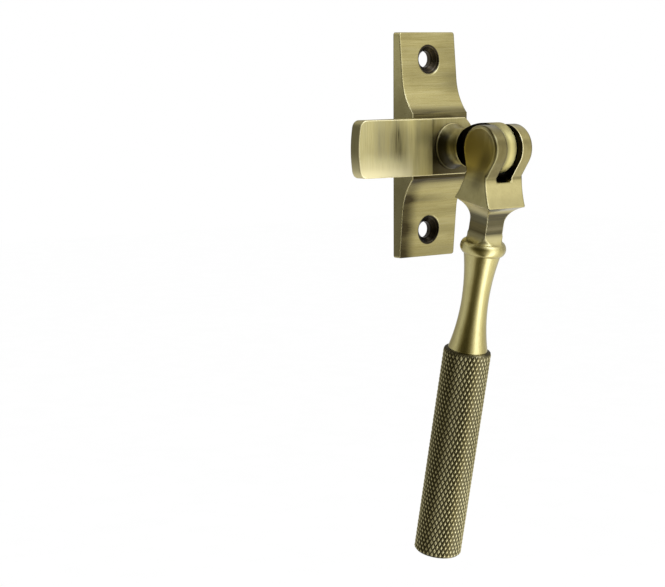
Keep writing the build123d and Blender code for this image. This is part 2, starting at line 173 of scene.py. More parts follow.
class Tree:
    """A material's node tree, with short calls for the nodes used here."""

    def __init__(self, name):
        self.material = bpy.data.materials.new(name)
        self.material.use_nodes = True
        self.nodes = self.material.node_tree.nodes
        self.links = self.material.node_tree.links
        self.nodes.clear()

    def node(self, kind, **settings):
        made = self.nodes.new(kind)
        for name, value in settings.items():
            setattr(made, name, value)
        return made

    def put(self, socket, value):
        """Link another node's socket to this one, or set a plain value on it."""
        if isinstance(value, bpy.types.NodeSocket):
            self.links.new(value, socket)
        else:
            socket.default_value = value

    def output(self, shader):
        """End the tree with a shader and return its material."""
        made = self.node("ShaderNodeOutputMaterial")
        self.links.new(shader.outputs[0], made.inputs[0])
        return self.material

    def math(self, operation, *values):
        made = self.node("ShaderNodeMath", operation=operation)
        for socket, value in zip(made.inputs, values):
            self.put(socket, value)
        return made.outputs[0]

    def times(self, first, *others):
        for other in others:
            first = self.math("MULTIPLY", first, other)
        return first

    def plus(self, first, *others):
        for other in others:
            first = self.math("ADD", first, other)
        return first

    def minus(self, first, second):
        return self.math("SUBTRACT", first, second)

    def larger(self, first, second):
        return self.math("MAXIMUM", first, second)

    def size(self, value):
        """A value without its sign."""
        return self.math("ABSOLUTE", value)

    def distance(self, first, second):
        """Length of a step with two parts at a right angle."""
        squares = [self.math("POWER", part, 2.0) for part in (first, second)]
        return self.math("SQRT", self.plus(*squares))

    def mapped(self, vector, location=(0, 0, 0), rotation=(0, 0, 0), scale=(1, 1, 1)):
        made = self.node("ShaderNodeMapping")
        self.put(made.inputs["Vector"], vector)
        made.inputs["Location"].default_value = location
        made.inputs["Rotation"].default_value = rotation
        made.inputs["Scale"].default_value = scale
        return made.outputs["Vector"]

    def split(self, vector):
        made = self.node("ShaderNodeSeparateXYZ")
        self.put(made.inputs[0], vector)
        return made.outputs

    def sizes(self, vector):
        """The three parts of a vector, each without its sign."""
        return [self.size(part) for part in self.split(vector)]

    def millimetres(self, vector):
        """The three parts of a place that is in metres, in millimetres."""
        return self.split(self.mapped(vector, scale=(1 / MM,) * 3))

    def noise(self, vector, scales, detail, roughness=0.55):
        """Noise of a place, with a scale for each axis."""
        made = self.node("ShaderNodeTexNoise")
        self.put(made.inputs["Vector"], self.mapped(vector, scale=scales))
        made.inputs["Scale"].default_value = 1.0
        made.inputs["Detail"].default_value = detail
        made.inputs["Roughness"].default_value = roughness
        return made.outputs[0]

    def ramp(self, value, span):
        """Smooth step of a value over a span."""
        start, end, *strengths = span
        made = self.node("ShaderNodeMapRange", interpolation_type="SMOOTHSTEP")
        for socket, setting in zip(made.inputs, (value, start, end, *(strengths or (0.0, 1.0)))):
            self.put(socket, setting)
        return made.outputs[0]

    def colours(self, value, stops):
        """Colour for a value, straight between stops of a place and its colour."""
        made = self.node("ShaderNodeValToRGB")
        self.put(made.inputs[0], value)
        elements = made.color_ramp.elements
        elements.remove(elements[1])
        first_place, first_colour = stops[0]
        elements[0].position = first_place
        elements[0].color = (*first_colour, 1)
        for place, colour in stops[1:]:
            elements.new(place).color = (*colour, 1)
        return made.outputs[0]

    def shares(self, value, stops):
        """Share for a value, straight between stops of a place and its share."""
        return self.colours(value, [(place, (share,) * 3) for place, share in stops])

    def mix(self, share, first, second):
        """Two colours mixed, with this share of the second."""
        made = self.node("ShaderNodeMix", data_type="RGBA")
        self.put(made.inputs[0], share)
        for number, colour in ((MIX_FIRST, first), (MIX_SECOND, second)):
            plain = not isinstance(colour, bpy.types.NodeSocket)
            self.put(made.inputs[number], (*colour, 1) if plain else colour)
        return made.outputs[MIX_RESULT]

    def soft_edges(self, radius):
        """Normals as if every sharp edge were rounded over, with a radius in millimetres."""
        made = self.node("ShaderNodeBevel", samples=6)
        made.inputs["Radius"].default_value = radius * MM
        return made.outputs["Normal"]

    def rounded_normal_x(self, radius):
        """Size of the object's X in the normal of an edge that is rounded over."""
        made = self.node("ShaderNodeVectorTransform", vector_type="NORMAL")
        made.convert_from = "WORLD"
        made.convert_to = "OBJECT"
        self.put(made.inputs[0], self.soft_edges(radius))
        return self.sizes(made.outputs[0])[0]

    def crevice(self, reach):
        """1 deep in a corner or a slot, 0 on a face that is open for a reach in millimetres."""
        made = self.node("ShaderNodeAmbientOcclusion", samples=8)
        made.inputs["Distance"].default_value = reach * MM
        return self.ramp(made.outputs["AO"], CREVICE)

    def bump(self, height, strength, normal):
        made = self.node("ShaderNodeBump")
        self.put(made.inputs["Height"], height)
        self.put(made.inputs["Normal"], normal)
        self.put(made.inputs["Strength"], strength)
        made.inputs["Distance"].default_value = STREAK_HEIGHT
        return made.outputs["Normal"]

    def tangent(self, axis):
        """Direction round one axis of the object, for streaks in the reflections."""
        return self.node("ShaderNodeTangent", direction_type="RADIAL", axis=axis).outputs[0]

    def metal(self, colour, roughness, normal=None, anisotropic=0.0, tangent=None, lacquer=0.0):
        """End the tree with a metal, lacquered or bare, and return its material."""
        made = self.node("ShaderNodeBsdfPrincipled")
        self.put(made.inputs["Base Color"], colour)
        self.put(made.inputs["Roughness"], roughness)
        made.inputs["Metallic"].default_value = 1.0
        made.inputs["Anisotropic"].default_value = anisotropic
        made.inputs["Coat Weight"].default_value = lacquer
        made.inputs["Coat Roughness"].default_value = LACQUER_ROUGHNESS
        if normal is not None:
            self.put(made.inputs["Normal"], normal)
        if tangent is not None:
            self.put(made.inputs["Tangent"], tangent)
        return self.output(made)


def object_space(tree):
    """Place on the object, in metres, and its normal."""
    made = tree.node("ShaderNodeTexCoord")
    return made.outputs["Object"], made.outputs["Normal"]


def handle_space(tree, place):
    """Place in the handle's own frame: hinge at the origin, Z up the handle."""
    lean = radians(LEAN)
    turn = Matrix.Rotation(-lean, 3, "X")
    return tree.mapped(place, location=-(turn @ Vector(pivot)), rotation=(-lean, 0, 0))


def brushed(tree, place, along):
    """Noises of metal brushed along one axis: fine streaks, broad streaks and blotches."""
    fine_scales = [FINE_ACROSS] * 3
    broad_scales = [BROAD_ACROSS] * 3
    fine_scales[along] = FINE_ALONG
    broad_scales[along] = BROAD_ALONG
    fine = tree.noise(place, fine_scales, detail=3.0, roughness=0.6)
    broad = tree.noise(place, broad_scales, detail=2.0, roughness=0.5)
    blotch = tree.noise(place, [BLOTCH_SCALE] * 3, detail=3.0, roughness=0.6)
    return fine, broad, blotch


def streaked_colour(tree, fine, broad, blotch, spread):
    """Brass from deep to light by its streaks, weaker with a wider spread, and deep in its blotches."""
    streak = tree.plus(tree.times(fine, FINE_SHARE), tree.times(broad, BROAD_SHARE))
    stops = [(0.5 - spread, BRASS_DEEP), (0.5, BRASS), (0.5 + spread, BRASS_LIGHT)]
    return tree.mix(tree.ramp(blotch, BLOTCH_STAIN), tree.colours(streak, stops), BRASS_DEEP)


# Plate: age of its sides and its face, and painted shade with patina by the nose
PLATE_SPREAD = 0.27
PLATE_SIDE = (0.8, 0.95)
PLATE_SIDE_AGE = (26.0, 6.0, 0.22, 0.68)
PLATE_SIDE_FOOT = (-4.0, -12.0, 0.0, 0.10)
PLATE_FACE = (0.8, 0.5)
PLATE_FACE_DEPTH = (-0.4, -1.0)
PLATE_FOOT = (-6.0, -14.0)
PLATE_FOOT_LEFT = (-3.8, -8.8, 0.20, 0.78)
COVE_FOOT = -14.0
COVE_FOOT_AGE = (1.8, 0.3, 0.0, 0.24)
COVE_FOOT_LEFT = (8.0, -4.0, 0.25, 1.0)
PLATE_RIGHT = (1.0, 9.0, 0.0, 0.24)
PLATE_RIGHT_BOTTOM = (12.0, 15.0)
PLATE_RIGHT_TOP = (22.0, 18.0, 0.25, 1.0)
BOSS_AGE_AND_SHADE = (BOSS_HALF + 2.4, BOSS_HALF - 0.2, 0.0, 0.68)
PLATE_BAND_SCALES = (18.0, 18.0, 190.0)
PLATE_BANDS = (0.30, 0.68, 0.04, 0.26)
PLATE_BROAD = (0.25, 0.65, 0.85, 1.15)
PLATE_FINE = (0.25, 0.70, 0.85, 1.15)
PLATE_CREVICE = 2.6
PLATE_CREVICE_AGE_AND_SHADE = 0.75
# Plate: wear and painted highlights of its edges, its countersinks and its finish
PLATE_WEAR_AND_SHEEN = (12.0, 16.0, 0.70, 0.30)
SINK_RIM = (COUNTERSINK_RADIUS + 0.20, COUNTERSINK_RADIUS)
SINK_RING_SCALES = (2.6, 2.6, 2.6)
SINK_COLOURS = [(0.40, DEEP_BLACK), (0.65, BORE_BROWN)]
SINK_LOWER = (0.0, -SCREW_OFFSET, 0.0, 0.6)
PLATE_ROUGHNESS = (0.2, 0.8, 0.22, 0.34)
PLATE_WORN_ROUGHNESS = 0.30
PLATE_FLAT = (0.10, 0.02)
PLATE_BUMP = 0.25
PLATE_EDGE_RADIUS = 0.5
PLATE_ANISOTROPY = 0.5


def plate_material():
    """Brass brushed across the plate."""
    tree = Tree("brushed_brass_plate")
    place, normal = object_space(tree)
    fine, broad, blotch = brushed(tree, place, along=0)
    colour = streaked_colour(tree, fine, broad, blotch, PLATE_SPREAD)
    x, y, z = tree.millimetres(place)
    from_middle = tree.size(z)
    normal_x, normal_y, _ = tree.sizes(normal)

    # Older and darker on the sides, towards the foot and by its left edge
    side = tree.plus(tree.ramp(z, PLATE_SIDE_AGE), tree.ramp(z, PLATE_SIDE_FOOT))
    side = tree.times(side, tree.ramp(normal_x, PLATE_SIDE))
    foot = tree.times(tree.ramp(z, PLATE_FOOT), tree.ramp(x, PLATE_FOOT_LEFT))
    cove_foot = tree.ramp(tree.size(tree.minus(z, COVE_FOOT)), COVE_FOOT_AGE)
    cove_foot = tree.times(cove_foot, tree.ramp(x, COVE_FOOT_LEFT))
    right_edge = tree.times(tree.ramp(x, PLATE_RIGHT), tree.ramp(z, PLATE_RIGHT_BOTTOM))
    right_edge = tree.times(right_edge, tree.ramp(z, PLATE_RIGHT_TOP))
    bands = tree.ramp(tree.noise(place, PLATE_BAND_SCALES, detail=2.0), PLATE_BANDS)
    # Painted shade with patina on the boss next to the nose
    face = tree.plus(cove_foot, right_edge, bands, tree.ramp(from_middle, BOSS_AGE_AND_SHADE))
    face = tree.times(face, tree.ramp(broad, PLATE_BROAD), tree.ramp(fine, PLATE_FINE))
    face = tree.times(tree.plus(face, foot), tree.ramp(normal_x, PLATE_FACE))
    face = tree.times(face, tree.ramp(y, PLATE_FACE_DEPTH))
    colour = tree.mix(tree.larger(side, face), colour, PATINA_AND_SHADE)
    # Painted shade with patina in the corners, from ambient occlusion
    colour = tree.mix(tree.times(tree.crevice(PLATE_CREVICE), PLATE_CREVICE_AGE_AND_SHADE), colour, PATINA_AND_SHADE)

    # Worn edges, with painted highlights
    wear_and_sheen = tree.times(tree.ramp(normal_x, EDGE), tree.ramp(normal_y, EDGE))
    wear_and_sheen = tree.times(wear_and_sheen, tree.ramp(from_middle, PLATE_WEAR_AND_SHEEN))
    colour = tree.mix(wear_and_sheen, colour, BRASS_WEAR_AND_SHEEN)

    # Dark turned countersinks, the lower one darker
    reach = tree.distance(x, tree.minus(from_middle, SCREW_OFFSET))
    rings = tree.noise(reach, SINK_RING_SCALES, detail=2.0)
    sink_colour = tree.mix(tree.ramp(z, SINK_LOWER), tree.colours(rings, SINK_COLOURS), DEEP_BLACK)
    colour = tree.mix(tree.ramp(reach, SINK_RIM), colour, sink_colour)

    rough = tree.plus(tree.ramp(fine, PLATE_ROUGHNESS), tree.times(wear_and_sheen, PLATE_WORN_ROUGHNESS))
    strength = tree.times(tree.ramp(normal_x, PLATE_FLAT), PLATE_BUMP)
    bumped = tree.bump(fine, strength, tree.soft_edges(PLATE_EDGE_RADIUS))
    return tree.metal(colour, rough, bumped, PLATE_ANISOTROPY, tree.tangent("X"), LACQUER)


# Nose: stains across its middle and on its end, thumbed brass by the hub, and painted shade on its upper
# side by the hub
NOSE_SPREAD = 0.24
STAIN_LEFT = (-21.8, -18.8)
STAIN_RIGHT = (-14.8, -17.2)
STAIN_BOTTOM = (-5.2, -1.0)
STAIN_TOP = (7.5, 3.0, 0.45, 1.0)
STAIN_BROAD = (0.32, 0.60, 0.04, 0.36)
STAIN_FINE = (0.28, 0.70, 0.30, 1.70)
FILM_LEFT = (-28.5, -25.0, 0.0, 0.18)
FILM_RIGHT = (-15.0, -17.2)
NOSE_END = (-29.0, -30.5)
NOSE_END_AGE = (0.6, 0.9, 0.0, 0.45)
NOSE_AGE = (0.25, 0.65, 0.10, 0.26)
NEAR_HUB = (-18.2, -14.2)
THUMBED = (0.30, 0.65, 0.55, 0.15)
THUMBED_RIGHT = (-NOSE_FACE_START - 0.3, -NOSE_FACE_START - 0.8)
HUB_SIDE = (-15.0, -11.5)
HUB_SIDE_SHADE = (-1.0, 3.0, 0.0, 0.32)
# Hub and turned neck, with painted shade below the neck, at the hub's step and in the neck's hollow
HUB_LEFT = (-NOSE_FACE_START - 0.1, -NOSE_FACE_START + 0.1)
HUB_OUT = (HUB_FACE + 0.2, HUB_FACE + 0.1)
HUB_SHADE = (5.0, -2.0, 0.40, 0.96)
HUB_TOP = (4.5, 6.6, 1.0, 0.10)
STEP_SHADE = (-NOSE_FACE_START + 1.8, -NOSE_FACE_START + 0.2, 0.0, 0.6)
STEP_LEFT = (-NOSE_FACE_START - 0.3, -NOSE_FACE_START)
PAST_BEAD = (HUB_FACE + 0.6, HUB_FACE + 0.9)
HOLLOW_OUT = (NECK_FRONT - 2.6, NECK_FRONT - 4.8, 0.0, 0.96)
HOLLOW_UPPER = (-2.0, 1.0, 0.0, 0.45)
HOLLOW_TOP = (4.8, 2.5, 0.25, 1.0)
NOSE_CREVICE = 3.0
NOSE_CREVICE_AGE_AND_SHADE = (-NOSE_FACE_START - 0.2, -NOSE_FACE_START + 0.2, 0.7, 0.95)
# Painted highlight on the nose's lower part, worn edges of the nose and the neck's bead with painted
# highlights, and the rim and flanks of the hinge tongue
LOW_HIGHLIGHT = (0.0, -7.0, 0.0, 0.55)
LOWEST_HIGHLIGHT = (-4.5, -7.0, 0.0, 0.30)
LOW_HIGHLIGHT_RIGHT = (-NOSE_FACE_START - 1.2, -NOSE_FACE_START - 4.5, 0.05, 1.0)
NOSE_EDGE_OUT = (HUB_FACE + 0.8, HUB_FACE + 0.6)
NOSE_WEAR_AND_SHEEN = 0.9
BEAD_FOOT = (HUB_FACE + 0.05, HUB_FACE + 0.15)
BEAD_FOOT_LOW = (3.0, -4.0, 0.0, 0.8)
BEAD_FOOT_LEFT = (-NOSE_FACE_START, -NOSE_FACE_START + 0.3)
BEAD_FOOT_OUT = (HUB_FACE + 1.2, HUB_FACE + 0.9)
PAST_RING = (NECK_FRONT + 0.2, NECK_FRONT + 0.7)
FROM_RING = (NECK_FRONT - 0.05, NECK_FRONT - 0.01)
FLANK = (TONGUE_HALF - 0.08, TONGUE_HALF - 0.01)
RIM_GOLD = 0.95
RIM_LEFT_SHADE_AND_DIRT = (0.8, -0.8, 0.0, 0.6)
RIM_TOP_AGE = (2.0, 5.0, 0.0, 0.45)
NOSE_ROUGHNESS = (0.2, 0.8, 0.32, 0.46)
RIM_ROUGHNESS = 0.12
THUMBED_ROUGHNESS = 0.22
NOSE_BUMP = 0.25
NOSE_EDGE_RADIUS = 0.3
NOSE_ANISOTROPY = 0.6


def nose_material():
    """Brass brushed up and down the nose, with its hub, its turned neck and its hinge tongue."""
    tree = Tree("brushed_brass_nose")
    place, normal = object_space(tree)
    fine, broad, blotch = brushed(tree, place, along=2)
    colour = streaked_colour(tree, fine, broad, blotch, NOSE_SPREAD)
    x, y, z = tree.millimetres(place)
    out = tree.times(y, -1.0)
    normal_x, normal_y, normal_z = tree.sizes(normal)

    # Stained across the middle of the nose and on its end, thumbed by the hub
    stain_height = tree.times(tree.ramp(z, STAIN_BOTTOM), tree.ramp(z, STAIN_TOP))
    stain = tree.times(tree.ramp(x, STAIN_LEFT), tree.ramp(x, STAIN_RIGHT), stain_height)
    stain = tree.times(stain, tree.ramp(broad, STAIN_BROAD))
    film = tree.times(tree.ramp(x, FILM_LEFT), tree.ramp(x, FILM_RIGHT), stain_height)
    stain = tree.times(tree.plus(stain, film), tree.ramp(fine, STAIN_FINE))
    end = tree.times(tree.ramp(x, NOSE_END), tree.ramp(normal_x, NOSE_END_AGE))
    darkened = tree.plus(tree.larger(stain, end), tree.ramp(broad, NOSE_AGE))
    near_hub = tree.ramp(x, NEAR_HUB)
    colour = tree.mix(tree.times(darkened, tree.minus(1.0, near_hub)), colour, PATINA_AND_SHADE)
    thumbed = tree.times(near_hub, tree.ramp(broad, THUMBED), tree.ramp(x, THUMBED_RIGHT))
    colour = tree.mix(thumbed, colour, BRASS_GOLD)
    # Painted shade on the upper side of the nose by the hub
    hub_side_shade = tree.times(tree.ramp(x, HUB_SIDE), tree.ramp(z, HUB_SIDE_SHADE))
    colour = tree.mix(hub_side_shade, colour, PATINA_AND_SHADE)

    # Painted shade in the corner of the hub, at its step, below the neck and in the neck's hollow, and
    # painted shade with patina in the corners
    before_neck = tree.ramp(out, HUB_OUT)
    shaded_hub = tree.times(tree.ramp(x, HUB_LEFT), before_neck, tree.ramp(z, HUB_SHADE), tree.ramp(z, HUB_TOP))
    step = tree.times(tree.ramp(x, STEP_SHADE), tree.ramp(x, STEP_LEFT))
    colour = tree.mix(tree.larger(shaded_hub, step), colour, PATINA_AND_SHADE)
    hollow = tree.larger(tree.ramp(out, HOLLOW_OUT), tree.ramp(z, HOLLOW_UPPER))
    hollow = tree.times(hollow, tree.ramp(out, PAST_BEAD), tree.ramp(z, HOLLOW_TOP))
    colour = tree.mix(hollow, colour, NECK_BLACK)
    crevice = tree.times(tree.crevice(NOSE_CREVICE), tree.ramp(x, NOSE_CREVICE_AGE_AND_SHADE))
    colour = tree.mix(crevice, colour, NECK_BLACK)

    # Painted highlight on its lower part, worn edges with painted highlights on the nose and the neck's
    # bead, and painted shade at the bead's foot
    low_highlight = tree.plus(tree.ramp(z, LOW_HIGHLIGHT), tree.ramp(z, LOWEST_HIGHLIGHT))
    low_highlight = tree.times(low_highlight, tree.ramp(x, LOW_HIGHLIGHT_RIGHT), before_neck)
    colour = tree.mix(low_highlight, colour, BRASS_WEAR_AND_SHEEN)
    edge = tree.times(tree.ramp(tree.larger(normal_x, normal_z), EDGE), tree.ramp(normal_y, EDGE))
    edge = tree.times(edge, tree.ramp(out, NOSE_EDGE_OUT))
    bead_foot = tree.times(tree.ramp(out, BEAD_FOOT), tree.ramp(z, BEAD_FOOT_LOW))
    bead_foot = tree.times(bead_foot, tree.ramp(x, BEAD_FOOT_LEFT))
    edge = tree.times(edge, tree.minus(1.0, bead_foot))
    colour = tree.mix(tree.times(edge, NOSE_WEAR_AND_SHEEN), colour, BRASS_WEAR_AND_SHEEN)
    colour = tree.mix(tree.times(bead_foot, tree.ramp(out, BEAD_FOOT_OUT)), colour, NECK_BLACK)

    # Hinge tongue: gold on its rim, with dirt and painted shade to the left and darker at the top, and
    # painted shadow on its flanks
    flank = tree.ramp(tree.size(x), FLANK)
    rim = tree.times(tree.ramp(out, PAST_RING), tree.minus(1.0, flank))
    colour = tree.mix(tree.times(rim, RIM_GOLD), colour, BRASS_GOLD)
    rim_shade_and_dirt = tree.larger(tree.ramp(x, RIM_LEFT_SHADE_AND_DIRT), tree.ramp(z, RIM_TOP_AGE))
    colour = tree.mix(tree.times(rim, rim_shade_and_dirt), colour, PATINA_AND_SHADE)
    colour = tree.mix(tree.times(tree.ramp(out, FROM_RING), flank), colour, DEEP_BLACK)

    rough = tree.plus(tree.ramp(fine, NOSE_ROUGHNESS), tree.times(rim, RIM_ROUGHNESS))
    rough = tree.plus(rough, tree.times(thumbed, THUMBED_ROUGHNESS))
    bumped = tree.bump(fine, NOSE_BUMP, tree.soft_edges(NOSE_EDGE_RADIUS))
    return tree.metal(colour, rough, bumped, NOSE_ANISOTROPY, tree.tangent("Z"), LACQUER)


# Fork: its cheeks, the crease below them, the square block and the slot
SHANK_SPREAD = 0.6
IN_FORK = (BLOCK_DOWN + 0.05, BLOCK_DOWN - 0.05)
ABOVE_CREASE = (CREASE_DOWN + 2.0, CREASE_DOWN - 1.0)
FORK_SIDE = (0.6, 0.9)
FORK_FRONT = (0.8, 0.5)
CHEEK_EDGE = (0.9, 0.6)
CHEEK_EDGE_AGE = (-SLOT_HALF + 0.5, -SLOT_HALF, 0.38, 0.66)
BLOCK_SIDE_AGE = 0.46
CREASE_SHADE = (1.0, 0.1, 0.0, 0.60)
CHEEK_FOOT_SHADE = (2.8, 0.6, 0.0, 0.58)
MOTTLE_SCALES = (520.0, 520.0, 420.0)
MOTTLE = (0.42, 0.68, 0.0, 0.35)
BLOCK_FRONT = (0.5, 0.2)
BLOCK_FRONT_LIGHT = 0.6
CHEEK_FACE = (0.85, 0.97)
CHEEK_DEPTH = (-5.5, 5.0)
CHEEK_SHARE = 0.9
CHEEK_TOP_HIGHLIGHT = (1.2, 5.0, 0.0, 0.60)
STRIPE_SLANT = 0.3
STRIPE_FORWARD = 3.5
STRIPE_SHADE = (3.4, 0.4, 0.0, 0.58)
STRIPE_TOP = (3.0, -3.0)
STRIPE_BOTTOM = (-12.8, -8.5)
CHEEK_RIM_SHADE = (3.6, 5.4, 0.0, 0.50)
CHEEK_RIM_FRONT = (-1.0, -3.5)
SHANK_CREVICE = 2.5
SHANK_CREVICE_AGE_AND_SHADE = 0.85
FORK_EDGE = (0.25, 0.45)
FORK_EDGE_SIDE = (0.97, 0.85)
BLOCK_WEAR_AND_SHEEN = (0.0, 1.0, 0.45, 0.0)
EDGE_SHADE_SIDE = (0.9995, 0.985)
EDGE_SHADE_BACK = (-4.8, -2.0, 0.0, 0.70)
SLOT_EDGE_RIGHT = (SLOT_HALF + 0.50, SLOT_HALF + 0.20)
SLOT_EDGE_LEFT = (0.0, SLOT_HALF)
SLOT_EDGE_WEAR_AND_SHEEN = (SLOT_FLOOR_DOWN + 0.3, SLOT_FLOOR_DOWN, 0.0, 0.85)
SLOT_WALL = (SLOT_HALF + 0.10, SLOT_HALF + 0.01)
SLOT_BOTTOM = (SLOT_FLOOR_DOWN + 0.4, SLOT_FLOOR_DOWN + 0.1)
SLOT_FLOOR = (SLOT_FLOOR_DOWN - 1.0, SLOT_FLOOR_DOWN - 0.2)
SLOT_FLOOR_FRONT = (-1.5, -4.0, 0.0, 0.8)
# Square neck between the block and the collar, with its bands of painted light and shade from one to the
# other
PAST_BLOCK = (BLOCK_DOWN - 0.1, BLOCK_DOWN + 0.6)
BEFORE_COLLAR = (COLLAR_DOWN - 0.3, COLLAR_DOWN - 1.8)
ALONG_NECK = (BLOCK_DOWN, COLLAR_DOWN)
FRONT_BANDS = [
    (0.0, PALE_GREY), (0.05, BRASS), (0.13, PATINA_AND_SHADE), (0.28, NECK_SHADE_OLIVE), (0.50, NECK_SHADE_OLIVE),
    (0.66, NECK_GREY), (0.74, NECK_SHADE_OLIVE), (0.82, NECK_SHADE_OLIVE), (0.95, BRASS_LIGHT)]
SIDE_BANDS = [
    (0.0, BRASS_DEEP), (0.10, NECK_SHADE_OLIVE), (0.42, NECK_SHADE_OLIVE), (0.58, NECK_BROWN),
    (0.82, NECK_BROWN), (0.93, BRASS_LIGHT)]
NECK_SIDE = (0.3, 0.7)
NECK_STREAK_SCALES = (60.0, 60.0, 2300.0)
NECK_BAND_STREAKS = (0.30, 0.70, 0.87, 0.97)
CORNER_RADIUS = 0.6
CORNER = (0.15, 0.45)
CORNER_SIDE = (0.98, 0.80)
CORNER_WEAR_AND_SHEEN = 0.75
LOW_SIDE = (0.5, 0.8)
LOW_SIDE_SHADE = (NECK_DOWN, FLARE_DOWN + 0.6, 0.0, 0.65)
# Finish of the shank, rougher where it is worn and on its flare
SHANK_ROUGHNESS = (0.2, 0.8, 0.15, 0.22)
SHANK_WORN_ROUGHNESS = 0.4
FLARE_ROUGHNESS = (FLARE_DOWN - 0.6, FLARE_DOWN, 0.0, 0.15)
FLARE_END = (COLLAR_DOWN + 1.2, COLLAR_DOWN + 0.2)
SHANK_BUMP = 0.05
SHANK_EDGE_RADIUS = 0.6


